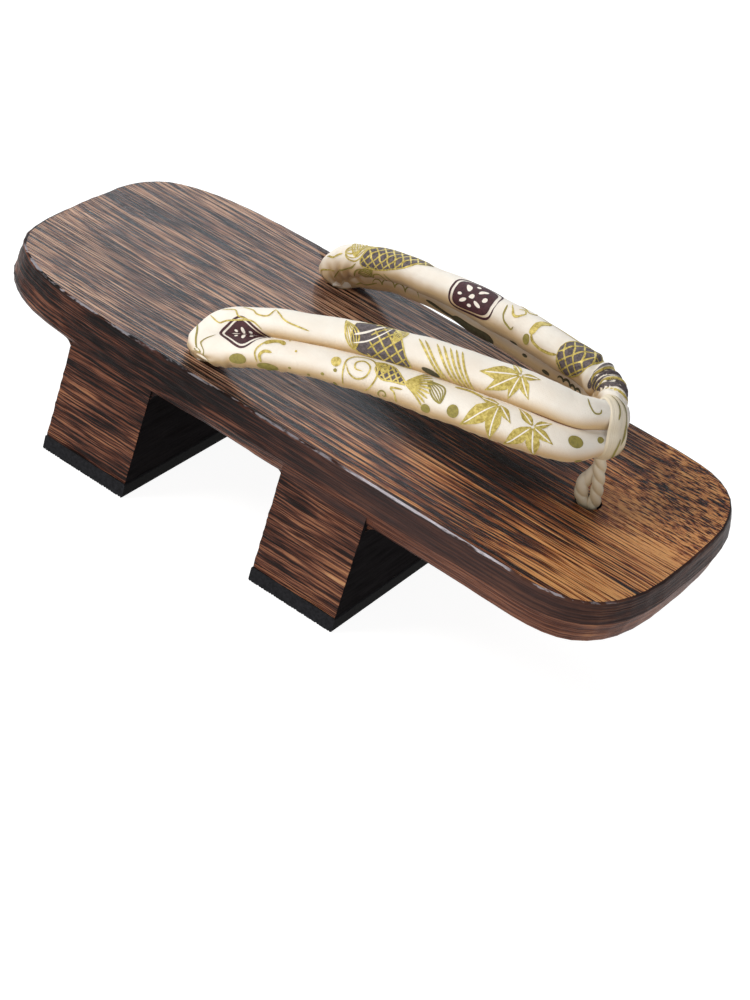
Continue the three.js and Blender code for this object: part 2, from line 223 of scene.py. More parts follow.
def rgb(code):
    """Linear colour from a hex code."""
    parts = [int(code[i:i + 2], 16) / 255 for i in (1, 3, 5)]
    return tuple(v / 12.92 if v <= 0.04045 else ((v + 0.055) / 1.055) ** 2.4 for v in parts) + (1.0,)


# Burnt and brushed wood with golden ridges and black furrows: noise in cells per metre along x, y and z
LONG_GRAIN = (26, 1250, 1250)
FIGURED_GRAIN = (260, 1100, 1100)
LEVEL_GRAIN = (34, 34, 1350)
SHADED_FRONT_GRAIN = (58, 58, 1350)
HAIR_LINES = (30, 2700, 2700)
STREAKS = (20, 300, 300)
BLOTCHES = (45, 140, 140)
WIDE_ZONES = (13, 38, 38)
LONG_SWAY = (9, 22, 22)
# Glints and breaks of the painted highlight along the near edge
EDGE_GLINTS = (110, 300, 300)
EDGE_BREAKS = (60, 300, 300)
RIDGE_SPAN = (0.38, 0.62)  # noise from furrow to ridge
SWAY = 0.005  # wander of the grain lines, in metres


def wood_nodes(name):
    """Nodes of a wood material, a place on it, that place swayed with the grain, and its x, y and z."""
    k = Nodes(name)
    place = k.place()
    x, y, z = k.split(place)
    sway = k.about(k.noise(place, LONG_SWAY, 1.0), SWAY)
    swayed = k.node("ShaderNodeCombineXYZ", {0: x, 1: k.add(y, sway), 2: k.add(z, sway)}).outputs[0]
    return k, place, swayed, (x, y, z)


def wood_patches(k, place, swayed):
    """Uneven burning: streaks, blotches and wide zones."""
    streak = k.noise(swayed, STREAKS, 2.0, 0.5)
    blotch = k.noise(place, BLOTCHES, 2.0, 0.55)
    zone = k.noise(place, WIDE_ZONES, 1.0)
    return k.add(k.about(streak, 0.5), k.about(blotch, 0.55), k.about(zone, 0.6))


def top_tone_and_shade(k, x, y):
    """Tone of the toe, the near edge and the heel, and painted shade in the dark zones before and within the
    strap.
    """
    toe = k.span(x, 0.075, 0.115, 0.0, 0.24)
    near = k.times(k.span(y, 0.0, -0.045), k.span(x, -0.02, 0.05), 0.07)
    heel = k.span(x, -0.06, -0.13, 0.0, 0.05)
    # Painted shade: darker around the foot of the toe cord, where the cord and strap shade the top
    before = k.times(k.span(y, 0.012, -0.008), k.span(x, 0.045, 0.07), k.span(x, 0.115, 0.095), -0.17)
    across = k.times(k.span(y, -0.03, -0.015), k.span(y, 0.03, 0.015))
    # Painted shade between the strap's legs, partly a darker stain
    within = k.times(across, k.span(x, -0.03, 0.0), k.span(x, 0.09, 0.07), -0.3)
    return k.add(toe, near, heel, before, within)


# Lacquered top, golden at the toe and greyer at the heel, the grey in part a painted sheen
def top_wood():
    k, place, swayed, (x, y, _) = wood_nodes("top_wood")
    along = k.noise(swayed, LONG_GRAIN, 3.0, 0.66)
    figured = k.noise(swayed, FIGURED_GRAIN, 3.0, 0.62)
    far_toe = k.times(k.span(x, 0.075, 0.115), k.span(y, -0.025, 0.03))
    grain = k.blend(along, figured, far_toe)
    ridge = k.span(grain, *RIDGE_SPAN)
    hair = k.span(k.noise(swayed, HAIR_LINES, 2.0, 0.6), 0.4, 0.56)
    lines = k.add(k.about(ridge, 0.82), k.about(hair, 0.36))
    tone = k.add(0.355, lines, wood_patches(k, place, swayed), top_tone_and_shade(k, x, y))
    golden = k.ramp(tone, [
        (0.05, "#080303"), (0.20, "#240d08"), (0.36, "#562511"),
        (0.52, "#8a4722"), (0.68, "#bd723b"), (0.90, "#e2a566")])
    sheen_greyed = k.ramp(tone, [
        (0.05, "#0b0606"), (0.20, "#20110d"), (0.36, "#472a20"),
        (0.52, "#77503e"), (0.68, "#a3795e"), (0.90, "#cea78c")])
    # Painted sheen: greyer colours towards the heel and middle of the top, in place of the grey reflection on
    # the lacquer
    grey = k.times(k.span(k.math("SUBTRACT", x, y), 0.1, 0.02), k.span(x, 0.1, 0.07), 0.8)
    k.surface(
        base_color=k.mix(grey, golden, sheen_greyed),
        roughness=k.span(ridge, 0.0, 1.0, 0.24, 0.46), specular_ior_level=0.24,
        coat_weight=0.12, coat_roughness=0.2, normal=k.bump(k.add(grain, k.times(hair, 0.12)), 1.0, 0.0008))
    return k.material


def painted_edge_highlight(k, place, facing, x, z):
    """Painted highlight along the near edge: small glints, and a bright stretch of it in front."""
    edge = k.times(k.span(facing[2], 0.5, 0.7), k.span(z, 0.0619, 0.0621), k.span(facing[1], -0.15, -0.4))
    glints = k.span(k.noise(place, EDGE_GLINTS, 3.0, 0.65), 0.49, 0.58)
    breaks = k.span(k.noise(place, EDGE_BREAKS, 3.0, 0.7), 0.36, 0.46)
    bright = k.times(k.span(x, 0.025, 0.04), k.span(x, 0.1, 0.085), breaks)
    return k.times(edge, k.add(k.times(glints, 0.34), k.times(bright, 0.75)))


# Rough sides with level lines, smoother towards the toe, with painted shade on the teeth under the deck and a
# painted highlight along the near edge
def side_wood():
    k, place, swayed, (x, _, z) = wood_nodes("side_wood")
    facing = k.split(k.node("ShaderNodeNewGeometry").outputs["Normal"])
    in_deck = k.span(z, 0.044, 0.047)
    upper = k.times(in_deck, k.node("ShaderNodeAttribute", attribute_name="upper_band").outputs["Fac"])
    calm = k.times(in_deck, k.span(x, -0.05, 0.06))
    level = k.noise(place, LEVEL_GRAIN, 3.0, 0.64)
    along = k.noise(swayed, LONG_GRAIN, 3.0, 0.66)
    grain = k.blend(level, along, k.span(facing[2], -0.6, -0.9))
    ridge = k.span(grain, *RIDGE_SPAN)
    marks = k.add(k.about(ridge, 0.42), k.times(wood_patches(k, place, swayed), 0.8))
    # Painted shade: the teeth darker just under the deck's overhang, a little lighter towards the treads
    tooth_shade = k.span(z, 0.044, 0.026, -0.06, 0.02)
    toe_tone = k.add(k.span(x, -0.11, 0.06, -0.11, 0.02), k.span(x, 0.06, 0.11, 0.0, 0.05))
    deck_tone = k.add(toe_tone, k.times(upper, -0.06))
    calmed = k.times(marks, k.span(calm, 0.0, 1.0, 1.0, 0.5))
    tone = k.add(0.34, calmed, k.blend(tooth_shade, deck_tone, in_deck))
    colour = k.ramp(tone, [
        (0.05, "#0b0505"), (0.20, "#23110c"), (0.36, "#4c291d"),
        (0.52, "#7a4d38"), (0.68, "#a87650"), (0.90, "#d2a87c")])
    colour = k.mix(k.times(upper, calm, 0.6), colour, rgb("#322929"))
    # Painted highlight: pale lilac on the near top edge, where the lacquer catches the light
    colour = k.mix(painted_edge_highlight(k, place, facing, x, z), colour, rgb("#f1ecf5"))
    k.surface(
        base_color=colour, roughness=0.45, specular_ior_level=0.12, normal=k.bump(grain, 1.0, 0.0006))
    return k.material


# Front faces of the two teeth, painted near-black as shade, since they face away from the lights
def shaded_front_wood():
    k = Nodes("shaded_front_wood")
    grain = k.noise(k.place(), SHADED_FRONT_GRAIN, 3.0, 0.62)
    k.surface(
        base_color=k.ramp(grain, [(0.35, "#0d0b0c"), (0.65, "#171415")]), roughness=0.9,
        specular_ior_level=0.02, normal=k.bump(grain, 0.5, 0.0004))
    return k.material


# Matt black rubber, with painted shade on its faces towards the toe
def rubber_material():
    k = Nodes("black_rubber")
    place = k.place()
    facing = k.split(k.node("ShaderNodeNewGeometry").outputs["Normal"])
    fleck = k.noise(place, (900, 900, 900), 3.0, 0.6)
    colour = k.ramp(fleck, [(0.3, "#141416"), (0.7, "#242427")])
    # Painted shade: near-black on the faces turned towards the toe
    colour = k.mix(k.span(facing[0], 0.7, 0.95), colour, rgb("#070707"))
    k.surface(
        base_color=colour, roughness=0.85, specular_ior_level=0.1,
        normal=k.bump(k.noise(place, (1500, 1500, 1500), 3.0), 0.3, 0.0003))
    return k.material


# Woven cotton, with painted shade: tan on the faces that turn down
def cotton_material(name, light, shade, low):
    k = Nodes(name)
    place = k.place()
    weave_place = k.node("ShaderNodeTexCoord").outputs["UV"]
    mottle = k.noise(place, (90, 90, 90), 3.0, 0.6)
    facing = k.split(k.node("ShaderNodeNewGeometry").outputs["Normal"])
    colour = k.ramp(mottle, [(0.3, shade), (0.7, light)])
    # Painted shade: the last colour on faces that turn downward, under the rolls and in the groove
    colour = k.mix(k.span(facing[2], 0.5, -0.4), colour, rgb(low))
    weave = {"Vector": weave_place, "Scale": 620.0}
    threads = [k.node("ShaderNodeTexWave", weave, bands_direction=way).outputs["Fac"] for way in ("X", "Y")]
    fuzz = k.noise(place, (1800, 1800, 1800))
    height = k.add(k.times(k.math("MAXIMUM", *threads), 0.6), fuzz)
    soft = k.bump(k.noise(place, (260, 260, 260), 4.0, 0.6), 0.2, 0.0012)
    k.surface(
        base_color=colour, roughness=0.88, sheen_weight=0.2, sheen_roughness=0.5,
        normal=k.bump(height, 0.45, 0.00022, soft))
    return k.material


# Ink printed on the cotton
def ink_material(name, light, dark, metallic=0.0, roughness=0.7):
    k = Nodes(name)
    place = k.place()
    colour = k.ramp(k.noise(place, (900, 900, 900), 3.0, 0.65), [(0.38, dark), (0.62, light)])
    k.surface(
        base_color=colour, metallic=metallic, roughness=roughness,
        normal=k.bump(k.noise(place, (1800, 1800, 1800)), 0.3, 0.00012))
    return k.material


# Mesh object from points in millimetres
def new_object(name, points, faces, material, smooth=True, uvs=None):
    mesh = bpy.data.meshes.new(name)
    mesh.from_pydata((np.asarray(points) * MM).tolist(), [], faces)
    mesh.update()
    if uvs is not None:
        layer = mesh.uv_layers.new(name="UVMap")
        corner = np.empty(len(mesh.loops), dtype=np.int32)
        mesh.loops.foreach_get("vertex_index", corner)
        layer.data.foreach_set("uv", np.asarray(uvs, dtype=np.float32)[corner].ravel())
    mesh.materials.append(material)
    mesh.polygons.foreach_set("use_smooth", [smooth] * len(mesh.polygons))
    made = bpy.data.objects.new(name, mesh)
    bpy.context.scene.collection.objects.link(made)
    return made


# Piece on the body "root", in place of the solids that it dresses
def settle(piece, slot, *nodes):
    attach(piece, "root")
    if nodes:
        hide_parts(*nodes)


def tube_faces(rings, count):
    """Quads between closed rings of points."""
    faces = []
    for i in range(rings - 1):
        for j in range(count):
            k = (j + 1) % count
            faces.append((i * count + j, i * count + k, (i + 1) * count + k, (i + 1) * count + j))
    return faces


def joined(parts):
    """One list of points and faces from several."""
    points, faces, start = [], [], 0
    for part_points, part_faces in parts:
        points.append(np.asarray(part_points).reshape(-1, 3))
        faces += [tuple(i + start for i in face) for face in part_faces]
        start += len(points[-1])
    return np.concatenate(points), faces


def units(vectors):
    return vectors / np.linalg.norm(vectors, axis=-1, keepdims=True)


def smooth_rows(rows, numbers):
    """Rows of a table on a smooth curve through its rows, by row number."""
    last = len(rows) - 1
    start = np.clip(np.floor(numbers).astype(int), 0, last - 1)
    t = (numbers - start)[:, None]
    a, p, q, b = (rows[np.clip(start + step, 0, last)] for step in (-1, 0, 1, 2))
    u, v = (q - a) / 2, (b - p) / 2
    return p + t * u + t ** 2 * (3 * (q - p) - 2 * u - v) + t ** 3 * (2 * (p - q) + u + v)


# Carved block with softened edges and brushed sides
EDGE_ROUND = 0.6 * MM
SIDE_GRAIN = 1.8 * MM  # edges longer than this are halved on the brushed sides
HALVINGS = 5
HOLE_REACH = 9.0 * MM
RIM_ANGLE = math.radians(50)
FLAT_ANGLE = math.radians(0.6)
LINE_ANGLES = (math.radians(9), math.radians(28))  # level edges that stay sharp lines
LEVEL_SLOPE = 0.35
TOP_FACE, SIDE_FACE, FRONT_FACE = 0, 1, 2

# Limits of the upward, forward and sideways parts of a normal that tell the block's faces apart
TOP_LIMIT = 0.95
FRONT_LIMIT = 0.85
UPRIGHT_LIMIT = 0.8
UPPER_BAND_LIMIT = -0.07
SIDEWAYS_LIMIT = 0.15

# Brushed relief of the sides in millimetres: length, height and depth of its waves and ripples
WAVES = (11.0, 2.6, 0.38)
RIPPLES = (4.0, 1.2, 0.22)
ROUGH_HEEL, CALM_TOE = (-60, 1.0), (50, 0.4)  # place along the deck and share of the relief


def off_holes(point):
    """Whether a point lies clear of the three holes."""
    holes = STRAP_HOLES + [TOE_HOLE]
    return min(math.hypot(point.x - x * MM, point.y - y * MM) for x, y in holes) > HOLE_REACH


def brushed(point):
    """How far the brush has raised or worn the wood at a point, roughest at the heel."""
    x, y, z = point / MM
    rough = np.interp(x, *zip(ROUGH_HEEL, CALM_TOE)) if z > DECK_UNDER else 1.0
    relief = 0.0
    for long, tall, depth in (WAVES, RIPPLES):
        relief += depth * noise.noise(Vector((x / long, y / long, z / tall)))
    return rough * relief * MM


def split_sides(shape):
    """Small triangles on the upright faces of the block."""
    upright = shape.faces.layers.int.new("upright")
    for face in shape.faces:
        face[upright] = abs(face.normal.z) < UPRIGHT_LIMIT and off_holes(face.calc_center_median())
    for _ in range(HALVINGS):
        sides = [f for f in shape.faces if f[upright]]
        bmesh.ops.triangulate(shape, faces=[f for f in sides if len(f.verts) > 3])
        edges = [e for e in shape.edges if any(f[upright] for f in e.link_faces)]
        bmesh.ops.subdivide_edges(shape, edges=[e for e in edges if e.calc_length() > SIDE_GRAIN], cuts=1)


def soften_rims(shape):
    """Small bevels on the sharp outer edges, apart from the rims of the holes."""
    sharp = [e for e in shape.edges if e.is_convex and e.calc_face_angle(0.0) > RIM_ANGLE]
    rims = [e for e in sharp if off_holes((e.verts[0].co + e.verts[1].co) / 2)]
    bmesh.ops.bevel(
        shape, geom=rims, offset=EDGE_ROUND, segments=2, profile=0.5, affect="EDGES", clamp_overlap=True)
    shape.normal_update()


def mark_faces(shape):
    """Each face's material, the upper band of the sides, and the sharp level lines."""
    upper = shape.faces.layers.float.new("upper_band")
    for face in shape.faces:
        face[upper] = float(face.normal.z > UPPER_BAND_LIMIT)
        # Front faces of the teeth below the deck get the material painted near-black as shade
        in_front = face.normal.x > FRONT_LIMIT and face.calc_center_median().z < DECK_UNDER * MM
        on_top = face.normal.z >= TOP_LIMIT
        face.material_index = FRONT_FACE if in_front else TOP_FACE if on_top else SIDE_FACE
    for edge in shape.edges:
        level = abs(edge.verts[0].co.z - edge.verts[1].co.z) < LEVEL_SLOPE * edge.calc_length()
        edge.smooth = not (level and LINE_ANGLES[0] < edge.calc_face_angle(0.0) < LINE_ANGLES[1])


def brush_sides(shape):
    """Sides moved in and out as the brush left them."""
    split_sides(shape)
    shape.normal_update()
    moves = []
    for vert in shape.verts:
        outward = Vector((vert.normal.x, vert.normal.y, 0))
        if outward.length > SIDEWAYS_LIMIT and off_holes(vert.co):
            moves.append((vert, outward.normalized() * brushed(vert.co)))
    for vert, move in moves:
        vert.co += move


def make_deck():
    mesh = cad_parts["deck"].data.copy()
    mesh.materials.clear()
    for material in (top_wood(), side_wood(), shaded_front_wood()):
        mesh.materials.append(material)
    shape = bmesh.new()
    shape.from_mesh(mesh)
    bmesh.ops.remove_doubles(shape, verts=shape.verts, dist=2e-6)
    bmesh.ops.dissolve_limit(shape, angle_limit=FLAT_ANGLE, verts=shape.verts, edges=shape.edges)
    soften_rims(shape)
    mark_faces(shape)
    brush_sides(shape)
    shape.to_mesh(mesh)
    shape.free()
    mesh.polygons.foreach_set("use_smooth", [True] * len(mesh.polygons))
    deck = bpy.data.objects.new("deck_wood", mesh)
    bpy.context.scene.collection.objects.link(deck)
    normals = deck.modifiers.new("normals", "WEIGHTED_NORMAL")
    normals.weight = 80
    normals.keep_sharp = True
    settle(deck, "burnt_wood", "deck")


# Rubber tread with fine ragged ribs underneath
def make_tread(name, middle, length, width, slot, material):
    pitch, depth, steps, chamfer, inset = 1.1, 0.35, 40, 0.5, 0.4
    rng = np.random.default_rng(len(name))
    count = 2 * int(round(length / pitch)) + 1
    half = length / 2
    xs = np.linspace(-half, half, count)
    ribs = np.where(np.arange(count) % 2 == 0, depth, 0.0)
    rim = [(half, chamfer), (half - inset, 0), (inset - half, 0), (-half, chamfer)]
    rings = []
    for y in np.linspace(-width / 2, width / 2, steps + 1):
        ragged = ribs * rng.uniform(0.2, 1.3, count)
        ragged[[0, -1]] = chamfer
        bottom = np.stack([middle + xs, np.full(count, y), ragged], 1)
        top = [(middle + x, y, TREAD_HEIGHT - drop) for x, drop in rim]
        rings.append(np.concatenate([bottom, top]))
    size = len(rings[0])
    faces = tube_faces(len(rings), size)
    faces += [tuple(range(size))[::-1], tuple(range(steps * size, (steps + 1) * size))]
    outward = [f[::-1] for f in faces]
    tread = new_object(name + "_rubber", np.concatenate(rings), outward, material, smooth=False)
    settle(tread, slot, name)


# Strap frames along its run, counted in millimetres from the front bend, near leg negative
def strap_frames():
    near, far = NEAR_LEG.copy(), FAR_LEG[::-1].copy()
    near[:, 1] *= -1
    far[:, 3] = 180 - far[:, 3]
    rows = np.concatenate([near, STRAP_BEND, far])
    numbers = np.linspace(0, len(rows) - 1, 2401)
    table = smooth_rows(rows, numbers)
    middle = table[:, :3] + (0, 0, DECK_TOP)
    forward = units(np.gradient(middle, axis=0))
    tilt, lean = np.radians(table[:, 3]), np.radians(table[:, 4])
    hint = np.stack([-np.sin(lean), np.cos(tilt), np.sin(tilt) * np.cos(lean)], 1)
    across = units(hint - forward * np.sum(hint * forward, 1, keepdims=True))
    out = np.cross(forward, across)
    run = np.concatenate([[0], np.cumsum(np.linalg.norm(np.diff(middle, axis=0), axis=1))])
    run -= np.interp(len(NEAR_LEG), numbers, run)
    sizes = np.concatenate([table[:, 5:7], np.clip(table[:, 7:8], 0, 1)], 1)
    return run, np.concatenate([middle, across, out, sizes], 1)


STRAP_RUN, STRAP_FRAMES = strap_frames()


def section(angle, groove):
    """Across and out of a soft section: round (groove 0) to two rolls side by side (1)."""
    ca, sa = np.cos(angle), np.sin(angle)
    side = np.where(ca >= 0, 0.5, -0.5)
    beta = 2 * angle + np.where(side < 0, math.pi, 0)
    floor = GROOVE_FLOOR * np.minimum(1.0, np.abs(sa) * 12)
    roll = np.sqrt(np.sin(beta) ** 2 + (floor * np.cos(beta)) ** 2) * np.where(sa >= 0, 1.0, -1.0)
    return ca + groove * (side + 0.5 * np.cos(beta) - ca), sa + groove * (roll - sa)


# Folds in the strap cloth: run and girth at the pinch and at the open end, depth at both, half width
END_FOLDS = 100.0  # folds past this run are at both ends of the strap
LIP_HEIGHT, LIP_REACH = 0.4, 2.1  # raised lips of a fold, in shares of its depth and half width
FOLDS = [
    (17.5, 29, 27.0, 9, 1.9, 0.9, 1.1),
    (17.0, 29, 20.5, 9, 1.9, 1.0, 1.1),
    (16.5, 29, 14.5, 9, 1.8, 1.0, 1.0),
    (15.5, 28, 9.0, 9, 1.6, 0.9, 1.0),
    (13.0, 28, 5.0, 12, 1.2, 0.7, 0.9),
    (19.0, 30, 34.0, 21, 0.9, 0.0, 1.4),
    (153.0, 33, 149.0, 19, 1.0, 0.2, 1.1),
    (150.0, 34, 142.0, 17, 1.1, 0.3, 1.1),
    (146.0, 34, 138.0, 21, 0.9, 0.2, 1.0),
    (141.0, 34, 134.0, 24, 0.7, 0.1, 0.9),
    (136.0, 34, 130.5, 26, 0.6, 0.0, 0.9),
    (151.0, -34, 146.0, -22, 0.8, 0.1, 1.0),
    (145.0, -34, 140.0, -24, 0.6, 0.1, 1.0),
    (-140.5, -20, -139.0, -11, 0.9, 0.0, 0.9),
    (-134.0, -20, -133.0, -15, 0.5, 0.0, 0.9),
    (-152.0, -16, -144.0, -13, 0.5, 0.0, 1.0),
    (-118.0, -20, -117.0, -15, 0.4, 0.0, 0.8),
    (-106.0, -20, -107.0, -16, 0.4, 0.0, 0.8),
]


# Soft swells of the cloth: height, turn along the strap, turn across it, start
SWELLS = [(0.14, 0.21, 0.18, 0.0), (0.10, 0.37, -0.27, 1.1)]
HEM_GIRTH, HEM_HALF, HEM_HEIGHT = 19.5, 2.5, 0.16


def fold_height(run, girth):
    """Height of the cloth over the plain strap: swells, a puckered hem, and folds with raised lips."""
    height = sum(tall * np.sin(along * run + across * girth + start) for tall, along, across, start in SWELLS)
    hem = np.exp(-((np.abs(girth) - HEM_GIRTH) / HEM_HALF) ** 2)
    height = height + HEM_HEIGHT * hem * np.sin(1.1 * run + 1.5 * np.sin(0.3 * run))
    for run_a, girth_a, run_b, girth_b, depth_a, depth_b, half in FOLDS:
        for mirror in (1, -1):
            if mirror < 0 and run_a < END_FOLDS:
                continue
            step = np.array((mirror * (run_b - run_a), girth_b - girth_a))
            dx, dy = run - mirror * run_a, girth - girth_a
            t = (dx * step[0] + dy * step[1]) / (step @ step)
            inside = np.clip(t, 0, 1)
            far = np.hypot(dx - inside * step[0], dy - inside * step[1])
            depth = depth_a + (depth_b - depth_a) * inside
            height = height - depth * np.exp(-(far / half) ** 2)
            height = height + LIP_HEIGHT * depth * np.exp(-((far - LIP_REACH * half) / half) ** 2)
    return height


def strap_surface(run, girth, lift=0.0, swell=0.0, grooved=1.0):
    """Points of the strap by run and by girth from the outer groove, upper roll positive."""
    run, girth = np.broadcast_arrays(np.asarray(run, float), np.asarray(girth, float))
    row = np.stack([np.interp(run, STRAP_RUN, STRAP_FRAMES[:, c]) for c in range(12)], -1)
    middle, across, out = row[..., :3], units(row[..., 3:6]), units(row[..., 6:9])
    wide, thick, groove = row[..., 9] + swell, row[..., 10] + swell, row[..., 11] * grooved
    angle = math.pi / 2 * (1 - girth / ROLL_GIRTH)
    a, o = section(angle, groove)
    side = np.where(np.cos(angle) >= 0, 0.5, -0.5) * groove
    outward = units(across * ((a - side) / wide)[..., None] + out * (o / thick)[..., None])
    points = middle + across * (a * wide)[..., None] + out * (o * thick)[..., None]
    points = points + outward * np.asarray(lift)[..., None]
    return rested(points)


def rested(points):
    """Points kept off the deck, apart from those inside a hole."""
    off_hole = np.min([np.hypot(points[..., 0] - x, points[..., 1] - y) for x, y in STRAP_HOLES], 0)
    resting = off_hole > CORD_RADIUS
    points[..., 2] = np.where(resting, np.maximum(points[..., 2], DECK_TOP + REST_GAP), points[..., 2])
    return points


def girths(count):
    """Even places right round the strap."""
    return (np.arange(count) + 0.5) / count * 4 * ROLL_GIRTH - 2 * ROLL_GIRTH


# Flat knot that holds a cord under the deck
def knot_part(hole):
    reach, cord, flat, drop, steps, sides = 1.72, 2.0, 0.25, 2.6, 120, 14
    t = np.linspace(0, 2 * math.pi, steps, endpoint=False)
    radius = reach * (2 + np.cos(3 * t))
    path = np.stack([radius * np.cos(2 * t), radius * np.sin(2 * t), flat * np.sin(3 * t)], 1)
    forward = units(np.roll(path, -1, 0) - np.roll(path, 1, 0))
    side = units(np.cross(forward, (0, 0, 1)))
    up = np.cross(side, forward)
    turn = np.linspace(0, 2 * math.pi, sides, endpoint=False)[None, :, None]
    rings = path[:, None] + cord * (np.cos(turn) * side[:, None] + np.sin(turn) * up[:, None])
    rings = np.concatenate([rings, rings[:1]]) + (*hole, DECK_UNDER - drop)
    return rings, tube_faces(steps + 1, sides)


# Padded strap of printed cotton
def make_strap(material):
    count, step = 112, 1.0
    runs = np.arange(STRAP_RUN[0], STRAP_RUN[-1], step)
    grid_run, grid_girth = np.meshgrid(runs, girths(count), indexing="ij")
    rings = strap_surface(grid_run, grid_girth, fold_height(grid_run, grid_girth))
    faces = [f[::-1] for f in tube_faces(len(runs), count)]
    points, faces = joined([(rings, faces)] + [knot_part(hole) for hole in STRAP_HOLES])
    uvs = np.zeros((len(points), 2))
    uvs[:rings.shape[0] * count] = np.stack([grid_run, grid_girth], -1).reshape(-1, 2) * MM
    strap = new_object("strap_cloth", points, faces, material, uvs=uvs)
    settle(strap, "printed_cotton", "strap")


# Motifs of the print: lines and fills in millimetres, x along the strap and y across it
def circle(radius, sides=28):
    turn = np.linspace(0, 2 * math.pi, sides, endpoint=False)
    return radius * np.stack([np.cos(turn), np.sin(turn)], 1)


def dot(radius, ink="olive", length=None):
    return [("fill", ink, circle(1.0) * (length or radius, radius))]


def curl(radius, turns=1.4, width=0.7, ink="olive"):
    t = np.linspace(0, 1, 48)
    turn = 2 * math.pi * turns * t
    reach = radius * (0.12 + 0.88 * t)
    return [("line", ink, np.stack([reach * np.cos(turn), reach * np.sin(turn)], 1), width)]


def stroke(points, width=0.6, ink="gold"):
    """Smooth line through a few points."""
    rows = np.array(points, float)
    return [("line", ink, smooth_rows(rows, np.linspace(0, len(rows) - 1, 10 * len(rows))), width)]


def leaf(lobes, ink="gold"):
    """Pointed lobes about one root, by angle and reach, each with a bare rib."""
    half = [(0.05, 0.03), (0.25, 0.15), (0.45, 0.2), (0.62, 0.15), (0.8, 0.07)]
    spear = np.array(half + [(1.0, 0.0)] + [(along, -aside) for along, aside in half[::-1]])
    shapes = []
    for angle, reach in lobes:
        way = np.array((math.cos(math.radians(angle)), math.sin(math.radians(angle))))
        side = np.array((-way[1], way[0]))
        shapes.append(("fill", ink, reach * (spear[:, :1] * way + spear[:, 1:] * side)))
        shapes.append(("line", "cream", reach * np.array([(0.1,), (0.5,), (0.85,)]) * way, 0.45))
    return shapes


def scallops(reaches, width=0.6, ink="gold"):
    points, start = [], 0.0
    for reach in reaches:
        turn = np.linspace(math.pi, 0, 16)
        points.append(np.stack([start + reach * (1 + np.cos(turn)), 0.9 * reach * np.sin(turn)], 1))
        start += 2 * reach
    return [("line", ink, np.concatenate(points) - (start / 2, 0), width)]


def fin(length, width, ink="gold"):
    t = np.linspace(0, 1, 24)
    swell = width * np.sin(math.pi * t ** 1.4) ** 0.8
    shapes = []
    for share, thick in ((1.0, 0.6), (0.7, 0.4), (0.42, 0.4), (0.15, 0.4), (-0.12, 0.4), (-0.35, 0.6)):
        shapes.append(("line", ink, np.stack([length * t, share * swell], 1), thick))
    return shapes


def inside(points, rim):
    """Which points lie inside an outline."""
    found = np.zeros(len(points), bool)
    for (ax, ay), (bx, by) in zip(rim, np.roll(rim, -1, 0)):
        spans = (ay > points[:, 1]) != (by > points[:, 1])
        crossing = ax + (points[:, 1] - ay) * (bx - ax) / np.where(by == ay, 1.0, by - ay)
        found ^= spans & (points[:, 0] < crossing)
    return found


def scaled(corners, pitch, bare=0.0, ink="grey"):
    """Fish body: a dark outline filled with a net of gold scales, apart from a bare head."""
    rows = np.array(corners + corners[:1], float)
    rim = smooth_rows(rows, np.linspace(0, len(rows) - 1, 8 * len(rows)))[:-1]
    shapes = [("fill", ink, rim), ("line", "gold", np.concatenate([rim, rim[:1]]), 0.55)]
    low, high = rim.min(0), rim.max(0)
    for slope in (1.0, -1.0):
        for start in np.arange(low[0] - 40, high[0] + 40, pitch):
            x = np.linspace(low[0] + bare * (high[0] - low[0]), high[0], 120)
            net = np.stack([x, (low[1] + high[1]) / 2 + slope * (x - start)], 1)
            kept = net[inside(net, rim)]
            if len(kept) > 4:
                shapes.append(("line", "gold", kept, 0.6))
    return shapes


def crest(half_length, half_width, ink="maroon"):
    """Plain flower crest in a frame."""
    size = np.array((half_length, half_width))
    rim = circle(1.0, 48)
    block = np.sign(rim) * np.abs(rim) ** 0.45
    shapes = [("line", ink, np.concatenate([block, block[:1]]) * size * 0.94, 0.9)]
    shapes.append(("fill", ink, block * size * 0.8))
    for step in range(4):
        turn = math.radians(45 + 90 * step)
        petal = circle(1.0, 20) * (0.2, 0.09) + (0.42, 0)
        turned = petal @ np.array([(math.cos(turn), math.sin(turn)), (-math.sin(turn), math.cos(turn))])
        shapes.append(("fill", "cream", turned * size))
        way = np.array((math.cos(turn - math.pi / 4), math.sin(turn - math.pi / 4)))
        shapes.append(("fill", "cream", (circle(0.09, 16) + 0.5 * way) * size))
    shapes.append(("fill", "cream", circle(0.1, 16) * size))
    return shapes


def fan(count, reach, spread, width=0.55, ink="gold"):
    shapes = []
    for angle in np.radians(np.linspace(-spread / 2, spread / 2, count)):
        t = np.linspace(0.1, 1, 16)
        bend = angle * (0.7 + 0.5 * t)
        shapes.append(("line", ink, reach * np.stack([t * np.cos(bend), t * np.sin(bend)], 1), width))
    return shapes


def waves(starts):
    shapes = []
    for start in starts:
        shapes += stroke([(start, 6.4), (5.0 + 0.86 * start, 1.9), (13.2 + 0.7 * start, -5.0)], 0.75)
    return shapes


